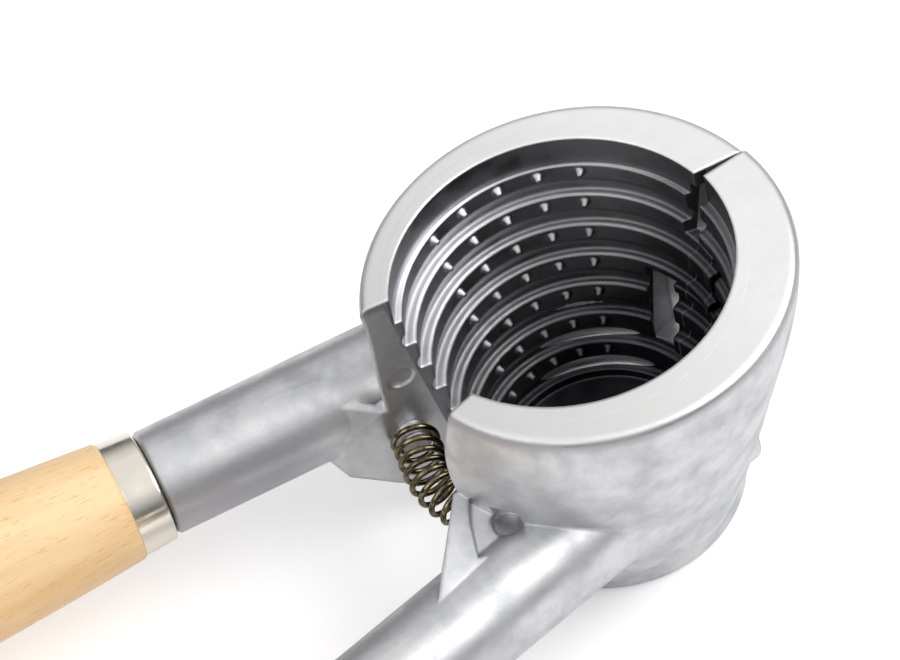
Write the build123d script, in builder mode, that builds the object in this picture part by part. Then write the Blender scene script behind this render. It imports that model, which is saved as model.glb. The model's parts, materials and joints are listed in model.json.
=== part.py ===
"""Conical nut cracker: two hinged cast jaws with wooden handles and a return spring.

Two half-barrel jaws form an open cone with stepped rings inside.  They meet at interleaved
knuckles on a vertical pin and are pushed apart by a bowed compression spring between their
split faces.  Each jaw carries a round shank, and a stud joins it to a beech handle that
ends in a plated ferrule.

Frame: millimetres, +Z up, the origin on the base plane under the middle of the mouth, +X to
the hinge and the handles towards -X.  The left jaw lies at +Y and the right jaw at -Y.
A "depth" is measured down from the rim, and a "station" along a shank from its start.
"""
from build123d import *
import math
import os

LEFT = 1
RIGHT = -1

# ---- barrel ----
barrel_height = 42.0
rim_edge_radius = 1.0
toe_edge_radius = 0.8
base_ring_height = 3.7
base_ring_radius = 16.4
base_ring_centre = (0.4, 0.3)      # to the jaw's own side
base_ring_fillet = 1.4
# Outer circles of each half, from the rim to the toe above the base ring.  Each has its
# share of the way down, its centre and its radius.
barrel_circles = {
    LEFT: [
        (0.0, (1.04, -1.64), 25.85),
        (0.29, (0.0, -1.0), 24.4),
        (0.5, (-0.4, -0.3), 23.7),
        (0.71, (-0.8, 0.4), 21.5),
        (0.88, (-0.8, 0.9), 18.4),
        (1.0, (-0.4, 1.0), 16.5),
    ],
    RIGHT: [
        (0.0, (2.12, -1.16), 24.7),
        (0.29, (-0.3, -1.2), 24.3),
        (0.5, (-0.9, -1.3), 22.3),
        (0.71, (-1.0, -1.35), 20.1),
        (0.88, (-0.8, -1.3), 18.0),
        (1.0, (-0.4, -1.0), 16.4),
    ],
}

# ---- stepped cavity ----
mouth_centre = {LEFT: (-0.51, -0.77), RIGHT: (0.32, 0.7)}
mouth_radius = {LEFT: 20.41, RIGHT: 20.07}
mouth_depth = 4.4
ring_pitch = 5.0
first_ring_radius = 19.4
ring_step = 1.02               # each land is this much tighter than the one above
first_ring_centre = (-0.3, -0.15)
ring_drift = (0.23, 0.33)      # how far the centre moves from one ring to the next
land_height = 2.8
land_edge = 0.25
groove_depth = 0.55
groove_lip = 0.3
cavity_floor = 1.4             # metal left under the cavity

# ---- gripping points on the lands ----
point_count = 5
point_first_angle = 51.7
point_spacing = 15.0
point_depth = 1.35             # below the land's upper edge
point_radius = 0.78
point_tip_radius = 0.26
point_height = 0.9
point_root = 0.3

# ---- split faces ----
stop_x = 25.7
stop_y = 0.97
stop_gap = 0.08                # each half stands back this far where the halves meet
split_angle = 11.1
split_end_x = -33.0            # the split ends here, behind the lugs
crack_lip_angle = 8.5          # hinge-side face of the left jaw, along the rim ...
crack_lip_depth = 2.6
crack_angle = 18.6             # ... and below it, down to the knuckles
crack_inner_x = 12.0           # the borders run on to here, within the cavity
knuckle_inner_x = 8.0
mark_reach = 45.5
mark_depth = 14.5
mark_radius = 1.7
mark_recess = 0.25

# ---- hinge ----
pin_x = 20.4
pin_radius = 1.5
pin_running_fit = 0.05
pin_top_depth = 16.0
pin_end_recess = 0.5
pin_edge = 0.3
knuckle_radius = 2.9
knuckle_clearance = 0.35
hinge_gap = 0.3                # between knuckles, along the pin
upper_knuckle_top = 11.4
upper_knuckle_bottom = 20.6
lower_knuckle_top = 33.7
left_knuckle_end = -1.2        # where the left knuckles end, across the split
left_knuckle_gap = 1.4
closing_angle = 12.0
middle_knuckle_end = 4.4
middle_knuckle_depth = 15.3    # distance from the barrel axis where that end is measured
middle_knuckle_back = 17.4
middle_knuckle_slope = 20.0
middle_knuckle_rear = 1.5      # behind the pin's axis
notch_inset = 0.6
pocket_corners = [(12.3, 6.6), (14.4, 8.8), (17.5, 9.4), (18.9, 8.0), (18.9, 2.0)]
boss_centre = {LEFT: (15.5, 5.0), RIGHT: (15.0, -4.0)}
boss_radius = {LEFT: 6.6, RIGHT: 4.8}

# ---- shanks and webs ----
shank_radius = 6.6
shank_offset = 14.8
shank_splay = 7.95
shank_depth = 22.6             # depth of the shank's axis
shank_start = -10.0            # inside the barrel
shank_length = 48.6
shank_edge = 0.5
lug_reach = {LEFT: 48.8, RIGHT: 50.3}
lug_rise = {LEFT: 3.0, RIGHT: 9.1}       # outer corner of the lug above the shank's axis
lug_drop = 11.2                          # and its lower edge below that axis
web_elbow = {LEFT: (-27.6, 12.0), RIGHT: (-28.9, 12.1)}
web_elbow_rise = {LEFT: -0.3, RIGHT: 1.6}
web_elbow_drop = 6.8
web_tip = (-32.8, 18.6)
web_root = (-12.0, 14.0)
web_overlap = 1.0              # the web passes the split face by this much before the split
web_recess_corners = {
    LEFT: [(-27.1, 18.4), (-25.5, 16.0), (-23.7, 12.9), (-22.2, 11.6), (-12.0, 12.0), (-14.0, 20.0)],
    RIGHT: [(-25.7, 16.4), (-24.0, 12.5), (-22.3, 9.8), (-18.0, 9.5), (-12.0, 12.0), (-14.0, 20.0)],
}
web_recess_depth = 1.0
web_mark_place = (-20.2, 14.2)
web_mark_radius = 1.8
web_mark_depth = 16.9          # of the mark's floor
web_mark_room = 3.0            # cleared above that floor

# ---- studs, ferrules and handles ----
stud_radius = 2.5
stud_start = 36.0
stud_end = 86.0
stud_edge = 0.4
ferrule_gap = 0.2
ferrule_length = 4.3
ferrule_front_radius = 7.0
ferrule_rear_radius = 7.25
ferrule_wall = 0.7
ferrule_lip = 0.5
ferrule_round = 0.35
tenon_fit = 0.02
handle_length = 97.0
handle_collar_radius = 7.5
handle_collar_edge = 0.3
handle_collar_flare = 0.09       # slope of the wood where it leaves the ferrule
handle_swell_radius = 10.0
handle_swell_length = 60.0
handle_end_radius = 9.3

# ---- spring and its seats ----
spring_reach = 46.0
spring_depth = 24.9
spring_outer_radius = 3.0
spring_wire = 0.75
spring_turns = 10.5
spring_seat_gap = 0.08
spring_bow = 0.8
spring_start_angle = 200.0
peg_radius = 1.85
peg_height = 2.2

FAR = 90.0                     # beyond every part of a jaw

# ---- worked-out places ----
toe_depth = barrel_height - base_ring_height
pin_bottom = base_ring_height + pin_end_recess
ring_count = int((barrel_height - cavity_floor - mouth_depth) / ring_pitch)
split_slope = math.tan(math.radians(split_angle))
pin_y = stop_y
ferrule_start = shank_length + ferrule_gap
ferrule_end = ferrule_start + ferrule_length
tenon_start = ferrule_start + ferrule_lip
tenon_radius = ferrule_front_radius - ferrule_wall
handle_end = ferrule_end + handle_length


def height(depth):
    """Height above the base of a depth below the rim."""
    return barrel_height - depth


def face_y(side, x):
    """Where a jaw's split face lies at a given x, with its small set-back."""
    return stop_y + side * ((stop_x - x) * split_slope + stop_gap)


def face_plane(side, reach, depth):
    """Plane on a jaw's split face, looking at the other jaw, a reach away from the stop."""
    angle = math.radians(split_angle)
    x = stop_x - reach * math.cos(angle)
    outward = (-math.sin(angle), -side * math.cos(angle), 0)
    return Plane(origin=(x, face_y(side, x), height(depth)), x_dir=(0, 0, 1), z_dir=outward)


def shank_axis_plane(side):
    """Plane through a shank's axis: x runs along the shank, y is up."""
    angle = math.radians(shank_splay)
    along = (-math.cos(angle), side * math.sin(angle), 0)
    across = (along[1], -along[0], 0)
    return Plane(origin=(0, side * shank_offset, height(shank_depth)), x_dir=along, z_dir=across)


def shank_section_plane(side, station):
    """Plane square to a shank at a station along it."""
    base = shank_axis_plane(side)
    return Plane(origin=base.origin + base.x_dir * station, x_dir=(0, 0, 1), z_dir=base.x_dir)


def plane_through(first, second, third):
    """Plane through three points, with its normal upwards."""
    origin = Vector(*first)
    normal = (Vector(*second) - origin).cross(Vector(*third) - origin)
    if normal.Z < 0:
        normal = -normal
    return Plane(origin=origin, z_dir=normal)


def ring_centre(side, index):
    """Centre of a cavity ring in plan; it drifts to the jaw's own side with depth."""
    x = first_ring_centre[0] + ring_drift[0] * index
    y = first_ring_centre[1] + ring_drift[1] * index
    return x, side * y


def ring_radius(index):
    return first_ring_radius - ring_step * index


def ring_depth(index):
    return mouth_depth + ring_pitch * index


def barrel(side):
    """Outer body of a jaw, before the split: tapering circles, then the base ring."""
    with BuildPart() as body:
        for share, centre, radius in barrel_circles[side]:
            with BuildSketch(Plane((*centre, height(toe_depth * share)))):
                Circle(radius)
        loft()
        fillet(body.faces().sort_by(Axis.Z)[-1].edges(), rim_edge_radius)
        fillet(body.faces().sort_by(Axis.Z)[0].edges(), toe_edge_radius)
    with BuildPart() as base:
        with BuildSketch(Plane((base_ring_centre[0], side * base_ring_centre[1], 0))):
            Circle(base_ring_radius)
        extrude(amount=base_ring_height)
        fillet(base.faces().sort_by(Axis.Z)[0].edges(), base_ring_fillet)
        add(body.part)
    return base.part


def shank(side):
    """Round shank, from inside the barrel's wall to its chamfered end."""
    with BuildPart() as rod:
        with BuildSketch(shank_section_plane(side, shank_start)):
            Circle(shank_radius)
        extrude(amount=shank_length - shank_start)
        chamfer(rod.faces().sort_by(Axis.X)[0].edges(), shank_edge)
    return rod.part


def web_slab(outline, top, bottom):
    """Upright slab over an outline in plan, between two sloping planes."""
    with BuildPart() as slab:
        with BuildSketch(Plane.XY):
            Polygon(*outline, align=None)
        extrude(amount=barrel_height)
        split(bisect_by=top, keep=Keep.BOTTOM)
        split(bisect_by=bottom, keep=Keep.TOP)
    return slab.part


def web(side):
    """Lug behind the split face and the web that carries it, with a shallow recess on top."""
    axis_height = height(shank_depth)
    shank_top = axis_height + shank_radius
    corner = face_plane(side, lug_reach[side], 0).origin
    corner = (corner.X, corner.Y)
    elbow = (web_elbow[side][0], side * web_elbow[side][1])
    tip = (web_tip[0], side * web_tip[1])
    root = (web_root[0], side * web_root[1])
    inner = (root[0], face_y(side, root[0]) - side * web_overlap)
    corner_top = (*corner, axis_height + lug_rise[side])
    tip_top = (*tip, shank_top)
    outer_top = plane_through(tip_top, corner_top, (*elbow, axis_height + web_elbow_rise[side]))
    inner_top = plane_through(tip_top, corner_top, (*root, shank_top))
    bottom = plane_through(
        (*corner, axis_height - lug_drop),
        (*elbow, axis_height - web_elbow_drop),
        (*root, axis_height - lug_drop))
    recess_floor = inner_top.offset(-web_recess_depth)
    recess = [(x, side * y) for x, y in web_recess_corners[side]]
    with BuildPart() as plate:
        add(web_slab([elbow, tip, corner], outer_top, bottom))
        add(web_slab([corner, tip, root, inner], inner_top, bottom))
        add(web_slab(recess, Plane.XY.offset(barrel_height), recess_floor), mode=Mode.SUBTRACT)
    return plate.part


def cavity(side):
    """The space that the jaw's rings leave free: mouth, lands, undercut grooves, last pocket."""
    with BuildPart() as space:
        with BuildSketch(Plane((*mouth_centre[side], height(mouth_depth + land_edge)))):
            Circle(mouth_radius[side])
        extrude(amount=barrel_height)
        for index in range(ring_count):
            centre = ring_centre(side, index)
            radius = ring_radius(index)
            top = -ring_depth(index)
            land_end = top - land_height
            floor = top - ring_pitch
            with BuildSketch(Plane(origin=(*centre, barrel_height), x_dir=(1, 0, 0), z_dir=(0, -1, 0))):
                with BuildLine():
                    Polyline((0, floor), (0, top), (radius + land_edge, top),
                             (radius, top - land_edge), (radius, land_end))
                    ThreePointArc((radius, land_end),
                                  (radius + groove_depth, (land_end + floor) / 2),
                                  (radius + groove_lip, floor))
                    Line((radius + groove_lip, floor), (0, floor))
                make_face()
            revolve(axis=Axis((*centre, 0), (0, 0, 1)))
        with BuildSketch(Plane((*ring_centre(side, ring_count), cavity_floor))):
            Circle(ring_radius(ring_count))
        extrude(amount=height(ring_depth(ring_count)) - cavity_floor)
    return space.part


def grip_points(side):
    """Where the small cones stand on the lands, each looking at its ring's centre."""
    places = []
    for index in range(ring_count):
        centre = ring_centre(side, index)
        reach = ring_radius(index) + point_root
        for column in range(point_count):
            angle = math.radians(point_first_angle + point_spacing * column)
            outward = (math.cos(angle), side * math.sin(angle))
            foot = (centre[0] + reach * outward[0], centre[1] + reach * outward[1],
                    height(ring_depth(index) + point_depth))
            inward = Plane(origin=foot, x_dir=(0, 0, 1), z_dir=(-outward[0], -outward[1], 0))
            places.append(inward.location)
    return places


def hinge_lug(side, ranges):
    """Rounded lugs around the pin, one for each depth range, growing out of a boss."""
    with BuildPart() as lug:
        for top, bottom in ranges:
            with BuildSketch(Plane.XY.offset(height(bottom))):
                with Locations((pin_x, pin_y)):
                    Circle(knuckle_radius)
                with Locations(boss_centre[side]):
                    Circle(boss_radius[side])
                make_hull()
            extrude(amount=bottom - top)
    return lug.part


def left_zones():
    """Depth ranges of the left jaw and its border in plan, from the handles to the hinge."""
    face = [(split_end_x, face_y(LEFT, split_end_x)), (0, face_y(LEFT, 0))]
    meeting = [(stop_x, stop_y + stop_gap), (FAR, stop_y + stop_gap)]
    lip_slope = math.tan(math.radians(crack_lip_angle))
    lip = [(crack_inner_x, stop_y + (stop_x - crack_inner_x) * lip_slope)] + meeting
    slope = math.tan(math.radians(crack_angle))
    crack = [(crack_inner_x, stop_y + (stop_x - crack_inner_x) * slope)] + meeting
    knuckle = [(knuckle_inner_x, left_knuckle_end), (FAR, left_knuckle_end)]
    pocket = pocket_corners + [(FAR, pocket_corners[-1][1])]
    return [
        (0, crack_lip_depth, face + lip),
        (crack_lip_depth, upper_knuckle_top, face + crack),
        (upper_knuckle_top, upper_knuckle_bottom, face + knuckle),
        (upper_knuckle_bottom, lower_knuckle_top, face + pocket),
        (lower_knuckle_top, barrel_height, face + knuckle),
    ]


def right_zones():
    """Depth ranges of the right jaw and its border in plan, from the handles to the hinge."""
    face = [(split_end_x, face_y(RIGHT, split_end_x)), (0, face_y(RIGHT, 0))]
    crack = [(crack_inner_x, stop_y - stop_gap), (FAR, stop_y - stop_gap)]
    slope = math.tan(math.radians(closing_angle))
    notch_x = pin_x - knuckle_radius + notch_inset
    notch_y = left_knuckle_end - left_knuckle_gap
    notch = [(x, notch_y + (x - notch_x) * slope) for x in (knuckle_inner_x, FAR)]
    end_slope = math.tan(math.radians(middle_knuckle_slope))
    middle = [(x, middle_knuckle_end + (x - middle_knuckle_depth) * end_slope)
              for x in (knuckle_inner_x, middle_knuckle_back)]
    rear_y = pin_y - middle_knuckle_rear
    middle = middle + [(middle_knuckle_back, rear_y), (FAR, rear_y)]
    top = upper_knuckle_top - hinge_gap
    middle_top = upper_knuckle_bottom + hinge_gap
    middle_bottom = lower_knuckle_top - hinge_gap
    return [
        (0, top, face + crack),
        (top, middle_top, face + notch),
        (middle_top, middle_bottom, face + middle),
        (middle_bottom, barrel_height, face + notch),
    ]


def jaw(side, zones, knuckles, notches, bore_radius):
    """One cast jaw: body, border with the other jaw, knuckles, rings, points and seats."""
    with BuildPart() as casting:
        add(barrel(side))
        add(web(side))
        add(shank(side))
        if side == LEFT:
            with BuildSketch(Plane.XY.offset(base_ring_height)):
                with Locations(boss_centre[side]):
                    Circle(boss_radius[side])
            extrude(amount=height(upper_knuckle_top) - base_ring_height)

        for top, bottom, border in zones:
            with BuildSketch(Plane.XY.offset(height(bottom))):
                Polygon(*border, (FAR, -side * FAR), (split_end_x, -side * FAR), align=None)
            extrude(amount=bottom - top, mode=Mode.SUBTRACT)
        for top, bottom in notches:
            with BuildSketch(Plane((pin_x, pin_y, height(bottom)))):
                Circle(knuckle_radius + knuckle_clearance)
            extrude(amount=bottom - top, mode=Mode.SUBTRACT)
        add(hinge_lug(side, knuckles))

        add(cavity(side), mode=Mode.SUBTRACT)
        with Locations(*grip_points(side)):
            Cone(point_radius, point_tip_radius, point_height + point_root,
                 align=(Align.CENTER, Align.CENTER, Align.MIN))

        with BuildSketch(Plane((pin_x, pin_y, 0))):
            Circle(bore_radius)
        extrude(amount=height(pin_top_depth), mode=Mode.SUBTRACT)
        with BuildSketch(face_plane(side, spring_reach, spring_depth)):
            Circle(peg_radius)
        extrude(amount=peg_height)
        with BuildSketch(face_plane(side, mark_reach, mark_depth)):
            Circle(mark_radius)
        extrude(amount=-mark_recess, mode=Mode.SUBTRACT)
        if side == RIGHT:
            with BuildSketch(Plane.XY.offset(height(web_mark_depth))):
                with Locations((web_mark_place[0], side * web_mark_place[1])):
                    Circle(web_mark_radius)
            extrude(amount=web_mark_room, mode=Mode.SUBTRACT)
        with BuildSketch(shank_section_plane(side, stud_start)):
            Circle(stud_radius)
        extrude(amount=shank_length - stud_start, mode=Mode.SUBTRACT)
    return casting.part


def hinge_pin():
    """Steel pin, pressed into the left jaw from below and turning in the right jaw."""
    with BuildPart() as pin:
        with BuildSketch(Plane((pin_x, pin_y, pin_bottom))):
            Circle(pin_radius)
        extrude(amount=height(pin_top_depth) - pin_bottom)
        chamfer(pin.edges().filter_by(GeomType.CIRCLE), pin_edge)
    return pin.part


def stud(side):
    """Steel stud from the shank into the handle."""
    with BuildPart() as rod:
        with BuildSketch(shank_section_plane(side, stud_start)):
            Circle(stud_radius)
        extrude(amount=stud_end - stud_start)
        chamfer(rod.edges().filter_by(GeomType.CIRCLE), stud_edge)
    return rod.part


def ferrule(side):
    """Plated ring with a turned-in front lip over the handle's tenon."""
    plane = shank_axis_plane(side)
    lip_radius = tenon_radius - ferrule_lip
    with BuildPart() as ring:
        with BuildSketch(plane):
            with BuildLine():
                Polyline((tenon_start, tenon_radius + tenon_fit), (tenon_start, lip_radius),
                         (ferrule_start, lip_radius),
                         (ferrule_start, ferrule_front_radius - ferrule_round))
                TangentArc((ferrule_start, ferrule_front_radius - ferrule_round),
                           (ferrule_start + ferrule_round, ferrule_front_radius), tangent=(0, 1))
                Polyline((ferrule_start + ferrule_round, ferrule_front_radius),
                         (ferrule_end, ferrule_rear_radius), (ferrule_end, tenon_radius + tenon_fit),
                         (tenon_start, tenon_radius + tenon_fit))
            make_face()
        revolve(axis=Axis(plane.origin, plane.x_dir))
    return ring.part


def handle(side):
    """Turned beech handle: tenon in the ferrule, a slow swell and a rounded end."""
    plane = shank_axis_plane(side)
    collar = ferrule_end + handle_collar_edge
    swell = ferrule_end + handle_swell_length
    end_start = handle_end - handle_end_radius
    with BuildPart() as grip:
        with BuildSketch(plane):
            with BuildLine():
                Polyline((handle_end, 0), (tenon_start, 0), (tenon_start, tenon_radius),
                         (ferrule_end, tenon_radius),
                         (ferrule_end, handle_collar_radius - handle_collar_edge),
                         (collar, handle_collar_radius))
                Spline((collar, handle_collar_radius), (swell, handle_swell_radius),
                       (end_start, handle_end_radius),
                       tangents=[(1, handle_collar_flare), (1, 0)])
                TangentArc((end_start, handle_end_radius), (handle_end, 0), tangent=(1, 0))
            make_face()
        revolve(axis=Axis(plane.origin, plane.x_dir))
        with BuildSketch(shank_section_plane(side, tenon_start)):
            Circle(stud_radius)
        extrude(amount=stud_end - tenon_start, mode=Mode.SUBTRACT)
    return grip.part


def spring_axis(share):
    """Point and direction of the spring's bowed axis at a share of its length."""
    start = face_plane(LEFT, spring_reach, spring_depth).origin
    end = face_plane(RIGHT, spring_reach, spring_depth).origin
    seat = spring_wire / 2 + spring_seat_gap
    span = abs(start.Y - end.Y)
    lead = span * split_slope / math.pi
    wave = math.pi * share
    bow = lead * math.sin(wave) + spring_bow * math.sin(wave) ** 2
    slope = lead * math.pi * math.cos(wave) + spring_bow * math.pi * math.sin(2 * wave)
    squeeze = 1 - 2 * seat / span
    y = (start.Y + end.Y) / 2 + (0.5 - share) * span * squeeze
    point = Vector(start.X - bow - seat * split_slope, y, start.Z)
    direction = Vector(-slope, -span * squeeze, 0).normalized()
    return point, direction


def wire_point(share):
    """Point on the centre line of the spring's wire."""
    point, direction = spring_axis(share)
    across = direction.cross(Vector(0, 0, 1))
    turn = math.radians(spring_start_angle) + 2 * math.pi * spring_turns * share
    radius = spring_outer_radius - spring_wire / 2
    return point + across * (radius * math.cos(turn)) + Vector(0, 0, radius * math.sin(turn))


def wire_direction(share):
    """Direction of the wire, from two points close together."""
    step = 1e-5
    return (wire_point(share + step) - wire_point(share - step)).normalized()


def biarc_joint(start, start_dir, end, end_dir):
    """Where the two arcs of a biarc with equal tangent lengths meet."""
    chord = end - start
    both = start_dir + end_dir
    spread = 2 * (1 - start_dir.dot(end_dir))
    along = chord.dot(both)
    reach = (-along + math.sqrt(along ** 2 + spread * chord.dot(chord))) / spread
    return (start + start_dir * reach + end - end_dir * reach) * 0.5


def return_spring():
    """Bowed compression spring: one wire wound on arcs, half a turn to each pair of arcs."""
    pairs = round(2 * spring_turns)
    shares = [index / pairs for index in range(pairs + 1)]
    points = [wire_point(share) for share in shares]
    directions = [wire_direction(share) for share in shares]
    with BuildPart() as spring:
        with BuildLine() as wire:
            for index in range(pairs):
                joint = biarc_joint(points[index], directions[index],
                                    points[index + 1], directions[index + 1])
                first = TangentArc(points[index], joint, tangent=directions[index])
                TangentArc(joint, points[index + 1], tangent=first % 1)
        with BuildSketch(Plane(origin=points[0], z_dir=directions[0])):
            Circle(spring_wire / 2)
        sweep(path=wire.wires()[0])
    return spring.part


def spring_self_gap():
    """Least free gap between neighbouring turns, measured on points along the wire."""
    per_turn = 48
    total = round(per_turn * spring_turns)
    points = [wire_point(index / total) for index in range(total + 1)]
    least = min(
        (points[low] - points[high]).length
        for low in range(total + 1)
        for high in range(low + per_turn // 2, min(low + 2 * per_turn, total + 1)))
    return least - spring_wire


upper = (upper_knuckle_top, upper_knuckle_bottom)
middle = (upper_knuckle_bottom + hinge_gap, lower_knuckle_top - hinge_gap)
lower = (lower_knuckle_top, toe_depth)
middle_notch = (upper_knuckle_bottom, lower_knuckle_top)
upper_notch = (upper_knuckle_top - hinge_gap, upper_knuckle_bottom + hinge_gap)
lower_notch = (lower_knuckle_top - hinge_gap, barrel_height)
right_bore = pin_radius + pin_running_fit

pieces = {
    "left_jaw": jaw(LEFT, left_zones(), [upper, lower], [middle_notch], pin_radius),
    "right_jaw": jaw(RIGHT, right_zones(), [middle], [upper_notch, lower_notch], right_bore),
    "hinge_pin": hinge_pin(),
    "return_spring": return_spring(),
    "left_stud": stud(LEFT),
    "right_stud": stud(RIGHT),
    "left_ferrule": ferrule(LEFT),
    "right_ferrule": ferrule(RIGHT),
    "left_handle": handle(LEFT),
    "right_handle": handle(RIGHT),
}

os.makedirs("parts", exist_ok=True)
for name, piece in pieces.items():
    piece.label = name
    export_step(piece, f"parts/{name}.step")

print(f"least gap between the spring's turns: {spring_self_gap():.2f} mm")
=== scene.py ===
"""Studio scene of the conical nut cracker: finishes, fine detail, light, floor and camera.

All places are in metres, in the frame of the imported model: the origin on the base plane under
the mouth, +Z out of the mouth, +X to the hinge and the handles towards -X.
"""

import json
import logging
import math
from dataclasses import dataclass
from enum import Enum
from typing import Any

import bpy
from mathutils import Matrix, Vector

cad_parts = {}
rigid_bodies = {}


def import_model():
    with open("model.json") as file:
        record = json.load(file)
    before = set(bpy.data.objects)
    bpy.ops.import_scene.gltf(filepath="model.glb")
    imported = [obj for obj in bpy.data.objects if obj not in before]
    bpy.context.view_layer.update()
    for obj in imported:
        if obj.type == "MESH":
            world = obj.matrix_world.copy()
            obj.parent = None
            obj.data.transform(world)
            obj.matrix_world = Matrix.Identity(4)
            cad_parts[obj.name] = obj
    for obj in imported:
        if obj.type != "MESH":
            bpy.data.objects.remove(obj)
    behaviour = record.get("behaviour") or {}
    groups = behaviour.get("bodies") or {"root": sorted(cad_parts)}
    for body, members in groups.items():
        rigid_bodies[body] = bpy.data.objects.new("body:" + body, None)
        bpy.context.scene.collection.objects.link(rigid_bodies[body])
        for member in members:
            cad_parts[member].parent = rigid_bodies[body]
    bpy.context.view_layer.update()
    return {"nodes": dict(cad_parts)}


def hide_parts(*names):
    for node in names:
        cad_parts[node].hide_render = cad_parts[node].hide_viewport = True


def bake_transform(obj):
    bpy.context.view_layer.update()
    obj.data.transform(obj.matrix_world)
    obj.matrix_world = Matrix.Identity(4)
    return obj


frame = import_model()
MM = 0.001
log = logging.getLogger("nut_cracker")


def linear(hex_code: str) -> tuple[float, float, float, float]:
    """Turn an sRGB hex colour into the linear colour that a shader takes.

    Args:
        hex_code: Six hex digits, with or without a leading hash.

    Returns:
        Linear red, green, blue and an alpha of 1.
    """
    digits = hex_code.lstrip("#")
    channels = [int(digits[place:place + 2], 16) / 255 for place in (0, 2, 4)]
    red, green, blue = (c / 12.92 if c <= 0.04045 else ((c + 0.055) / 1.055) ** 2.4 for c in channels)
    return red, green, blue, 1.0


def add_node(tree: bpy.types.NodeTree, kind: str, inputs: dict[Any, Any] | None = None,
             **settings: Any) -> bpy.types.Node:
    """Add a shader node with its settings, constants and links.

    Args:
        tree: Node tree that gets the node.
        kind: Blender's type name, such as ShaderNodeTexNoise.
        inputs: Input socket name or index, with a constant or the output socket to link.
        **settings: Properties of the node itself.

    Returns:
        The new node.
    """
    node = tree.nodes.new(kind)
    for name, value in settings.items():
        setattr(node, name, value)
    for socket, value in (inputs or {}).items():
        if isinstance(value, bpy.types.NodeSocket):
            tree.links.new(value, node.inputs[socket])
        else:
            node.inputs[socket].default_value = value
    return node


def set_ramp(node: bpy.types.Node, stops: list[tuple[float, str]]) -> None:
    """Give a colour ramp its stops.

    Args:
        node: A Color Ramp node.
        stops: Position and sRGB hex colour of each stop, in rising order.
    """
    elements = node.color_ramp.elements
    while len(elements) < len(stops):
        elements.new(0.5)
    for element, (position, colour) in zip(elements, stops):
        element.position = position
        element.color = linear(colour)


def new_material(name: str) -> tuple[bpy.types.Material, bpy.types.NodeTree, bpy.types.Node]:
    """Make an empty node material.

    Args:
        name: Name of the finish.

    Returns:
        The material, its node tree and its output node.
    """
    material = bpy.data.materials.new(name)
    material.use_nodes = True
    tree = material.node_tree
    tree.nodes.clear()
    return material, tree, add_node(tree, "ShaderNodeOutputMaterial")


class Side(Enum):
    """The two halves of the tool, with the sign of Y on which each lies."""

    LEFT = 1
    RIGHT = -1

    @property
    def word(self) -> str:
        """The side's name as the CAD nodes spell it."""
        return self.name.lower()


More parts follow.
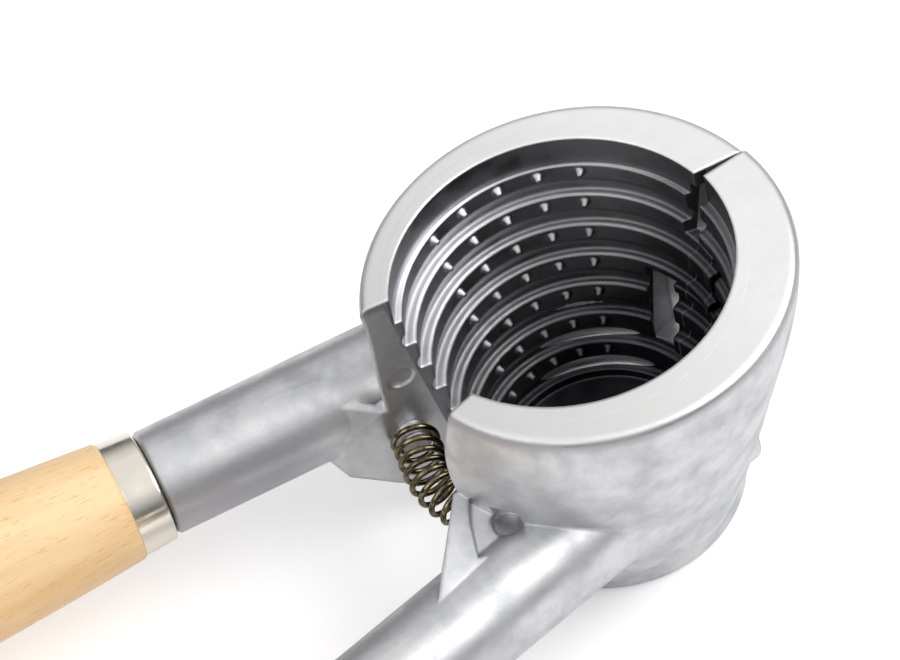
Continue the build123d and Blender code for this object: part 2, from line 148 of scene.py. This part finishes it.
@dataclass(frozen=True)
class CastAluminium:
    """Cast and tumbled aluminium: satin, softly mottled skin with a machined rim."""

    skin: str = "#D6D6D7"
    skin_dull: str = "#BBBCBF"
    rim: str = "#FFFFFE"
    rim_dull: str = "#F6F6F5"
    # painted shade on the rim away from the hinge
    rim_shade: str = "#DEDEDD"
    # painted shade just under the rim
    under_rim_shade: str = "#B4B4B6"
    # painted shade on the lower shanks
    shank_painted_shade: str = "#B4B4BA"
    # painted shade: a lit and a shaded colour for the cavity walls; the brown is a stain
    inside: str = "#AFB0B5"
    inside_shade: str = "#242428"
    inside_stain: str = "#54493E"
    # painted light: a lit and a shaded colour for the up-facing ledges
    ledge: str = "#F4F4F6"
    ledge_shade: str = "#505156"
    split_face: str = "#939396"
    # partly dirt and partly painted shade in the grooves
    dirt_and_shade: str = "#3A3A3B"
    roughness_low: float = 0.34
    roughness_high: float = 0.5
    split_roughness: float = 0.62
    # sizes of the skin's patches, waves and grain, and of the turning marks
    mottle_mm: float = 5.0
    wave_mm: float = 3.2
    grain_mm: float = 0.35
    scratch_mm: float = 0.3
    edge_radius_mm: float = 0.6
    dirt_and_shade_reach_mm: float = 0.6
    stain_share: float = 0.4
    # where the machined rim, the cavity, the split faces and the painted light and shade lie
    rim_height_mm: float = 42.0
    rim_zone_mm: tuple[float, float] = (-0.3, -0.05)
    under_rim_shade_mm: tuple[float, float] = (-1.6, -0.9)
    rim_fade_mm: tuple[float, float] = (-22.0, 16.0)
    cavity_radius_mm: tuple[float, float] = (15.2, 21.4)
    shank_mm: tuple[float, float] = (-27.0, -35.0)
    shank_shade_mm: tuple[float, float] = (24.4, 21.0)
    split_angle_deg: float = 11.1
    meeting_mm: tuple[float, float] = (25.7, 0.97)
    face_band_mm: float = 0.04
    face_end_mm: float = -24.0
    # the painted shade in the cavity falls off along this direction, over this span
    lit_direction: tuple[float, float, float] = (-0.7, 0.25, 0.65)
    lit_ramp_mm: tuple[float, float] = (3.0, 35.0)

    def zone(self, tree: bpy.types.NodeTree, value: Any, low: float, high: float) -> Any:
        """Make a soft step between two values.

        Args:
            tree: Node tree that gets the node.
            value: Output socket to measure.
            low: Value where the step starts.
            high: Value where the step is complete.

        Returns:
            Output socket that runs from 0 to 1.
        """
        return add_node(tree, "ShaderNodeMapRange", {
            "Value": value, "From Min": low, "From Max": high}).outputs[0]

    def blend(self, tree: bpy.types.NodeTree, factor: Any, first: Any, second: Any) -> Any:
        """Mix two colours.

        Args:
            tree: Node tree that gets the node.
            factor: Output socket, 0 for the first colour and 1 for the second.
            first: Hex colour or output socket.
            second: Hex colour or output socket.

        Returns:
            Output socket with the mixed colour.
        """
        pair = [linear(colour) if isinstance(colour, str) else colour for colour in (first, second)]
        return add_node(tree, "ShaderNodeMix", {"Factor": factor, "A": pair[0], "B": pair[1]},
                        data_type="RGBA").outputs["Result"]

    def build(self) -> bpy.types.Material:
        """Build the material.

        Returns:
            The finish for a whole jaw; the rim, the rings and the split face are found by
            their place and the way they face.
        """
        material, tree, output = new_material("tumbled_cast_aluminium")
        place = add_node(tree, "ShaderNodeTexCoord").outputs
        spot = add_node(tree, "ShaderNodeSeparateXYZ", {0: place["Object"]}).outputs
        height = spot["Z"]
        facing = add_node(tree, "ShaderNodeSeparateXYZ", {0: place["Normal"]}).outputs["Z"]

        # the tumbled skin is satin, with dull and bright patches a few millimetres wide
        mottle = add_node(tree, "ShaderNodeTexNoise", {
            "Vector": place["Object"], "Scale": 1 / (self.mottle_mm * MM), "Detail": 7.0,
            "Roughness": 0.6}).outputs["Fac"]
        cloud = self.zone(tree, mottle, 0.34, 0.62)
        skin = self.blend(tree, cloud, self.skin_dull, self.skin)
        rim = self.blend(tree, cloud, self.rim_dull, self.rim)

        # the cavity lies inside a cone that narrows downwards
        flat = add_node(tree, "ShaderNodeVectorMath", {0: place["Object"], 1: (1.0, 1.0, 0.0)},
                        operation="MULTIPLY")
        radius = add_node(tree, "ShaderNodeVectorMath", {0: flat.outputs[0]}, operation="LENGTH")
        wall = add_node(tree, "ShaderNodeMapRange", {
            "Value": height, "From Min": 0.0, "From Max": self.rim_height_mm * MM,
            "To Min": self.cavity_radius_mm[0] * MM, "To Max": self.cavity_radius_mm[1] * MM})
        inner = add_node(tree, "ShaderNodeMath", {0: radius.outputs["Value"], 1: wall.outputs[0]},
                         operation="LESS_THAN").outputs[0]

        # turning marks run round the rings
        rings = add_node(tree, "ShaderNodeCombineXYZ", {
            0: radius.outputs["Value"], 2: height}).outputs[0]
        pulled = add_node(tree, "ShaderNodeVectorMath", {0: rings, 1: (1 / (self.scratch_mm * MM),) * 3},
                          operation="MULTIPLY").outputs[0]
        turning = add_node(tree, "ShaderNodeTexNoise", {
            "Vector": pulled, "Scale": 1.0, "Detail": 4.0, "Roughness": 0.65}).outputs["Fac"]
        # painted shade: the colour itself darkens towards the bottom and the hinge side,
        # and the rings have brown stains in places
        bright = add_node(tree, "ShaderNodeVectorMath", {0: place["Object"], 1: self.lit_direction},
                          operation="DOT_PRODUCT").outputs["Value"]
        bright = self.zone(tree, bright, self.lit_ramp_mm[0] * MM, self.lit_ramp_mm[1] * MM)
        stain = add_node(tree, "ShaderNodeMapRange", {
            "Value": mottle, "From Min": 0.5, "From Max": 0.66,
            "To Max": self.stain_share}).outputs[0]
        wall_colour = self.blend(tree, bright, self.inside_shade, self.inside)
        stained = self.blend(tree, stain, wall_colour, self.inside_stain)
        # painted light: the up-facing ledges get a lighter colour, with the same painted shade towards
        # the bottom and the hinge side
        up = self.zone(tree, facing, 0.35, 0.7)
        ring = self.blend(tree, up, stained, self.blend(tree, bright, self.ledge_shade, self.ledge))

        # painted shade: the shanks are darker low down, and so is the barrel just under its rim
        lower = self.zone(tree, height, *(z * MM for z in self.shank_shade_mm))
        shank = self.zone(tree, spot["X"], *(x * MM for x in self.shank_mm))
        lower = add_node(tree, "ShaderNodeMath", {0: lower, 1: shank}, operation="MULTIPLY").outputs[0]
        skin = self.blend(tree, lower, skin, self.shank_painted_shade)
        lip = self.zone(tree, height, *((self.rim_height_mm + z) * MM for z in self.under_rim_shade_mm))
        skin = self.blend(tree, lip, skin, self.under_rim_shade)
        colour = self.blend(tree, inner, skin, ring)

        # the split faces are as cast, flat and duller than the rest; they open out from the
        # place where the halves meet
        aside = add_node(tree, "ShaderNodeMath", {0: spot["Y"], 1: self.meeting_mm[1] * MM},
                         operation="SUBTRACT").outputs[0]
        aside = add_node(tree, "ShaderNodeMath", {0: aside}, operation="ABSOLUTE").outputs[0]
        slope = math.tan(math.radians(self.split_angle_deg))
        opening = add_node(tree, "ShaderNodeMath", {
            0: spot["X"], 1: -slope, 2: self.meeting_mm[0] * slope * MM},
            operation="MULTIPLY_ADD").outputs[0]
        off = add_node(tree, "ShaderNodeMath", {0: aside, 1: opening}, operation="SUBTRACT").outputs[0]
        off = add_node(tree, "ShaderNodeMath", {0: off}, operation="ABSOLUTE").outputs[0]
        face = add_node(tree, "ShaderNodeMath", {0: off, 1: self.face_band_mm * MM},
                        operation="LESS_THAN").outputs[0]
        ahead = add_node(tree, "ShaderNodeMath", {0: spot["X"], 1: self.face_end_mm * MM},
                         operation="GREATER_THAN").outputs[0]
        face = add_node(tree, "ShaderNodeMath", {0: face, 1: ahead}, operation="MULTIPLY").outputs[0]
        colour = self.blend(tree, face, colour, self.split_face)

        # the machined rim is the brightest part; painted light makes it lighter towards the hinge
        top = self.zone(tree, height, *((self.rim_height_mm + z) * MM for z in self.rim_zone_mm))
        hinge_side = self.zone(tree, spot["X"], *(x * MM for x in self.rim_fade_mm))
        rim = self.blend(tree, hinge_side, self.rim_shade, rim)
        colour = self.blend(tree, top, colour, rim)

        # partly dirt and partly painted shade: the colour darkens in the grooves and at the roots of the
        # points
        depth = add_node(tree, "ShaderNodeAmbientOcclusion", {
            "Distance": self.dirt_and_shade_reach_mm * MM}, samples=8).outputs["AO"]
        unshaded = self.zone(tree, depth, 0.0, 0.45)
        colour = self.blend(tree, unshaded, self.dirt_and_shade, colour)

        rough = add_node(tree, "ShaderNodeMapRange", {
            "Value": mottle, "From Min": 0.35, "From Max": 0.65,
            "To Min": self.roughness_high, "To Max": self.roughness_low})
        rough = add_node(tree, "ShaderNodeMix", {
            "Factor": face, "A": rough.outputs[0], "B": self.split_roughness}, data_type="FLOAT")
        grain = add_node(tree, "ShaderNodeTexNoise", {
            "Vector": place["Object"], "Scale": 1 / (self.grain_mm * MM), "Detail": 3.0})
        waves = add_node(tree, "ShaderNodeTexNoise", {
            "Vector": place["Object"], "Scale": 1 / (self.wave_mm * MM), "Detail": 3.0,
            "Roughness": 0.5})

        # cast edges are soft; waves, turning marks and grain break up the reflections
        edge = add_node(tree, "ShaderNodeBevel", {"Radius": self.edge_radius_mm * MM}, samples=6)
        swell = add_node(tree, "ShaderNodeBump", {
            "Height": waves.outputs["Fac"], "Strength": 0.35, "Distance": 0.14 * MM,
            "Normal": edge.outputs[0]})
        marks = add_node(tree, "ShaderNodeMath", {0: turning, 1: inner}, operation="MULTIPLY")
        turned = add_node(tree, "ShaderNodeBump", {
            "Height": marks.outputs[0], "Strength": 0.5, "Distance": 0.06 * MM,
            "Normal": swell.outputs[0]})
        bump = add_node(tree, "ShaderNodeBump", {
            "Height": grain.outputs["Fac"], "Strength": 0.25, "Distance": 0.03 * MM,
            "Normal": turned.outputs[0]})
        shader = add_node(tree, "ShaderNodeBsdfPrincipled", {
            "Base Color": colour, "Metallic": 1.0, "Roughness": rough.outputs[0],
            "Normal": bump.outputs[0]})
        tree.links.new(shader.outputs[0], output.inputs["Surface"])
        return material


@dataclass(frozen=True)
class DrawnSteel:
    """Plain drawn steel bar: grey, with fine lines along the bar."""

    name: str
    colour: str
    dark: str
    roughness: float
    line_mm: float = 0.12

    def build(self) -> bpy.types.Material:
        """Build the material.

        Returns:
            The finish for pins, studs or wire.
        """
        material, tree, output = new_material(self.name)
        place = add_node(tree, "ShaderNodeTexCoord").outputs["Object"]
        streak = add_node(tree, "ShaderNodeTexNoise", {
            "Vector": place, "Scale": 1 / (self.line_mm * 8 * MM), "Detail": 4.0})
        colour = add_node(tree, "ShaderNodeValToRGB", {"Fac": streak.outputs["Fac"]})
        set_ramp(colour, [(0.35, self.dark), (0.65, self.colour)])
        fine = add_node(tree, "ShaderNodeTexNoise", {"Vector": place, "Scale": 1 / (self.line_mm * MM)})
        bump = add_node(tree, "ShaderNodeBump", {
            "Height": fine.outputs["Fac"], "Strength": 0.15, "Distance": 0.01 * MM})
        shader = add_node(tree, "ShaderNodeBsdfPrincipled", {
            "Base Color": colour.outputs["Color"], "Metallic": 1.0, "Roughness": self.roughness,
            "Normal": bump.outputs[0]})
        tree.links.new(shader.outputs[0], output.inputs["Surface"])
        return material


@dataclass(frozen=True)
class NickelPlate:
    """Bright nickel plate over a spun ring: warm mirror with faint handling marks."""

    colour: str = "#ECE6DA"
    roughness: float = 0.12
    smear_mm: float = 2.5
    edge_radius_mm: float = 0.2

    def build(self) -> bpy.types.Material:
        """Build the material.

        Returns:
            The finish of both ferrules.
        """
        material, tree, output = new_material("nickel_plate")
        place = add_node(tree, "ShaderNodeTexCoord").outputs["Object"]
        smear = add_node(tree, "ShaderNodeTexNoise", {
            "Vector": place, "Scale": 1 / (self.smear_mm * MM), "Detail": 5.0})
        rough = add_node(tree, "ShaderNodeMapRange", {
            "Value": smear.outputs["Fac"], "From Min": 0.35, "From Max": 0.7,
            "To Min": self.roughness, "To Max": self.roughness * 2.2})
        edge = add_node(tree, "ShaderNodeBevel", {"Radius": self.edge_radius_mm * MM}, samples=6)
        bump = add_node(tree, "ShaderNodeBump", {
            "Height": smear.outputs["Fac"], "Strength": 0.12, "Distance": 0.05 * MM,
            "Normal": edge.outputs[0]})
        shader = add_node(tree, "ShaderNodeBsdfPrincipled", {
            "Base Color": linear(self.colour), "Metallic": 1.0, "Roughness": rough.outputs[0],
            "Normal": bump.outputs[0]})
        tree.links.new(shader.outputs[0], output.inputs["Surface"])
        return material


@dataclass(frozen=True)
class OiledBeech:
    """Turned beech: pale yellow wood with short darker flecks along the handle."""

    side: Side
    light: str = "#F0D2A4"
    deep: str = "#E6BE89"
    fleck: str = "#CB9B63"
    splay_deg: float = 7.95
    band_length_mm: float = 38.0
    band_width_mm: float = 3.2
    fleck_length_mm: float = 2.2
    fleck_width_mm: float = 0.28

    def build(self) -> bpy.types.Material:
        """Build the material.

        Returns:
            The finish of one handle, with its grain along that handle.
        """
        material, tree, output = new_material(f"oiled_beech_{self.side.word}")
        place = add_node(tree, "ShaderNodeTexCoord").outputs["Object"]
        along = add_node(tree, "ShaderNodeMapping", {
            "Vector": place, "Rotation": (0.0, 0.0, self.side.value * math.radians(self.splay_deg))})
        grain_scale = (1 / (self.band_length_mm * MM), 1 / (self.band_width_mm * MM),
                       1 / (self.band_width_mm * MM))
        stretched = add_node(tree, "ShaderNodeVectorMath", {0: along.outputs[0], 1: grain_scale},
                             operation="MULTIPLY")
        bands = add_node(tree, "ShaderNodeTexNoise", {
            "Vector": stretched.outputs[0], "Scale": 1.0, "Detail": 5.0, "Roughness": 0.55})
        wood = add_node(tree, "ShaderNodeValToRGB", {"Fac": bands.outputs["Fac"]})
        set_ramp(wood, [(0.30, self.deep), (0.62, self.light)])
        fleck_scale = (1 / (self.fleck_length_mm * MM), 1 / (self.fleck_width_mm * MM),
                       1 / (self.fleck_width_mm * MM))
        pulled = add_node(tree, "ShaderNodeVectorMath", {0: along.outputs[0], 1: fleck_scale},
                          operation="MULTIPLY")
        flecks = add_node(tree, "ShaderNodeTexNoise", {
            "Vector": pulled.outputs[0], "Scale": 1.0, "Detail": 2.0, "Roughness": 0.4})
        mask = add_node(tree, "ShaderNodeMapRange", {
            "Value": flecks.outputs["Fac"], "From Min": 0.60, "From Max": 0.72,
            "To Min": 0.0, "To Max": 0.5})
        colour = add_node(tree, "ShaderNodeMix", {
            "Factor": mask.outputs[0], "A": wood.outputs["Color"], "B": linear(self.fleck)},
            data_type="RGBA")
        bump = add_node(tree, "ShaderNodeBump", {
            "Height": flecks.outputs["Fac"], "Strength": 0.2, "Distance": 0.04 * MM})
        shader = add_node(tree, "ShaderNodeBsdfPrincipled", {
            "Base Color": colour.outputs["Result"], "Roughness": 0.42, "IOR": 1.5,
            "Normal": bump.outputs[0]})
        tree.links.new(shader.outputs[0], output.inputs["Surface"])
        return material


def dress(node: str, material: bpy.types.Material) -> None:
    """Give a CAD node its finish.

    Args:
        node: Name of the node.
        material: The finish.
    """
    piece = frame["nodes"][node]
    piece.data.materials.clear()
    piece.data.materials.append(material)
    log.info("%s wears %s", node, material.name)


@dataclass
class Half:
    """One half of the tool: jaw, ferrule, stud and handle."""

    side: Side
    cast: bpy.types.Material
    plate: bpy.types.Material
    steel: bpy.types.Material

    def build(self) -> None:
        """Dress every piece of the half."""
        word = self.side.word
        dress(f"{word}_jaw", self.cast)
        dress(f"{word}_ferrule", self.plate)
        dress(f"{word}_stud", self.steel)
        dress(f"{word}_handle", OiledBeech(self.side).build())


@dataclass
class Hinge:
    """The pin between the jaws and the spring that opens them."""

    steel: bpy.types.Material
    wire: bpy.types.Material
    left_seat_mm: tuple[float, float, float] = (-19.4, 9.9, 17.1)
    right_seat_mm: tuple[float, float, float] = (-19.4, -8.0, 17.1)

    def wind_spring(self) -> None:
        """Copy the spring's wire into a loose object of its own and hide the original."""
        bpy.ops.object.select_all(action="DESELECT")
        wire = frame["nodes"]["return_spring"]
        bpy.context.view_layer.objects.active = wire
        wire.select_set(True)
        bpy.ops.object.duplicate()
        spring = bpy.context.object
        bpy.ops.object.parent_clear(type="CLEAR_KEEP_TRANSFORM")
        for key in list(spring.keys()):
            del spring[key]
        spring.name = "wound_spring"
        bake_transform(spring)
        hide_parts("return_spring")
        bpy.ops.object.select_all(action="DESELECT")
        log.info("spring bends between its seats")

    def build(self) -> None:
        """Dress the pin and the spring, and put a loose copy of the spring in its place."""
        dress("hinge_pin", self.steel)
        dress("return_spring", self.wire)
        self.wind_spring()


@dataclass
class Studio:
    """Pale floor, soft light and the photograph's camera."""

    floor_size: float = 4.0
    floor_colour: str = "#F4F4F5"
    floor_glow: float = 0.27
    key_power: float = 6.0
    fill_power: float = 2.0
    sky_strength: float = 0.9
    azimuth_deg: float = -22.5
    elevation_deg: float = 52.08
    roll_deg: float = -13.99
    lens_mm: float = 209.1
    sensor_mm: float = 36.0
    eye_mm: tuple[float, float, float] = (-155.435, -337.865, 513.383)

    def lay_floor(self) -> None:
        """Lay the floor that the tool stands on; the camera sees it a little brighter."""
        bpy.ops.object.select_all(action="DESELECT")
        bpy.ops.mesh.primitive_plane_add(size=self.floor_size, location=(0, 0, 0))
        floor = bpy.context.object
        floor.name = "studio_floor"
        material, tree, output = new_material("studio_paper")
        seen = add_node(tree, "ShaderNodeLightPath").outputs["Is Camera Ray"]
        paper = add_node(tree, "ShaderNodeBsdfDiffuse", {"Color": linear(self.floor_colour)})
        glow = add_node(tree, "ShaderNodeEmission", {"Color": (1, 1, 1, 1), "Strength": self.floor_glow})
        both = add_node(tree, "ShaderNodeAddShader", {0: paper.outputs[0], 1: glow.outputs[0]})
        mix = add_node(tree, "ShaderNodeMixShader", {0: seen, 1: paper.outputs[0], 2: both.outputs[0]})
        tree.links.new(mix.outputs[0], output.inputs["Surface"])
        floor.data.materials.append(material)

    def hang_lights(self) -> None:
        """Hang a large key light and a weaker fill."""
        lamps = (
            ("key", self.key_power, (0.6, -0.35, 0.7), 0.7),
            ("fill", self.fill_power, (-0.7, -0.2, 0.6), 0.6),
        )
        for name, power, place, size in lamps:
            bpy.ops.object.light_add(type="AREA", location=place)
            lamp = bpy.context.object
            lamp.name = f"{name}_light"
            lamp.data.energy = power
            lamp.data.size = size
            aim = Vector((0, 0, 0.02)) - Vector(place)
            lamp.rotation_euler = aim.to_track_quat("-Z", "Y").to_euler()

    def wrap_world(self) -> None:
        """Surround the set: bright overhead, darker round the horizon, as in a studio."""
        world = bpy.data.worlds.new("studio_surround")
        world.use_nodes = True
        tree = world.node_tree
        tree.nodes.clear()
        direction = add_node(tree, "ShaderNodeTexCoord").outputs["Generated"]
        up = add_node(tree, "ShaderNodeSeparateXYZ", {0: direction}).outputs["Z"]
        ramp = add_node(tree, "ShaderNodeValToRGB", {"Fac": up})
        set_ramp(ramp, [(0.0, "#6E6E70"), (0.22, "#828284"), (0.5, "#D4D4D7"),
                        (0.74, "#FFFFFF"), (1.0, "#FFFFFF")])
        light = add_node(tree, "ShaderNodeBackground", {
            "Color": ramp.outputs["Color"], "Strength": self.sky_strength})
        output = add_node(tree, "ShaderNodeOutputWorld")
        tree.links.new(light.outputs[0], output.inputs["Surface"])
        bpy.context.scene.world = world

    def place_camera(self) -> None:
        """Stand the camera where the photograph was taken."""
        azimuth = math.radians(self.azimuth_deg)
        elevation = math.radians(self.elevation_deg)
        roll = math.radians(self.roll_deg)
        back = Vector((math.sin(azimuth) * math.cos(elevation),
                       -math.cos(azimuth) * math.cos(elevation), math.sin(elevation)))
        level = Vector((math.cos(azimuth), math.sin(azimuth), 0.0))
        rise = back.cross(level)
        right = level * math.cos(roll) + rise * math.sin(roll)
        up = back.cross(right)
        bpy.ops.object.camera_add(location=Vector(self.eye_mm) * MM)
        camera = bpy.context.object
        camera.name = "photo_camera"
        turn = Matrix((right, up, back)).transposed()
        camera.rotation_euler = turn.to_euler()
        camera.data.lens = self.lens_mm
        camera.data.sensor_width = self.sensor_mm
        camera.data.clip_end = 20.0
        bpy.context.scene.camera = camera

    def build(self) -> None:
        """Set up the whole studio."""
        self.lay_floor()
        self.hang_lights()
        self.wrap_world()
        self.place_camera()
        bpy.context.scene.view_settings.view_transform = "Standard"
        log.info("studio is set")


def main() -> None:
    """Build the studio and dress the tool, piece by piece."""
    logging.basicConfig(level=logging.INFO, format="%(name)s: %(message)s")
    bpy.ops.object.select_all(action="DESELECT")
    cast = CastAluminium().build()
    plate = NickelPlate().build()
    steel = DrawnSteel("drawn_steel", "#9A9A9C", "#7C7C7E", 0.32).build()
    wire = DrawnSteel("spring_wire", "#8C8066", "#3E3628", 0.16).build()
    for side in Side:
        Half(side, cast, plate, steel).build()
    Hinge(steel, wire).build()
    Studio().build()


if __name__ == "__main__":
    main()
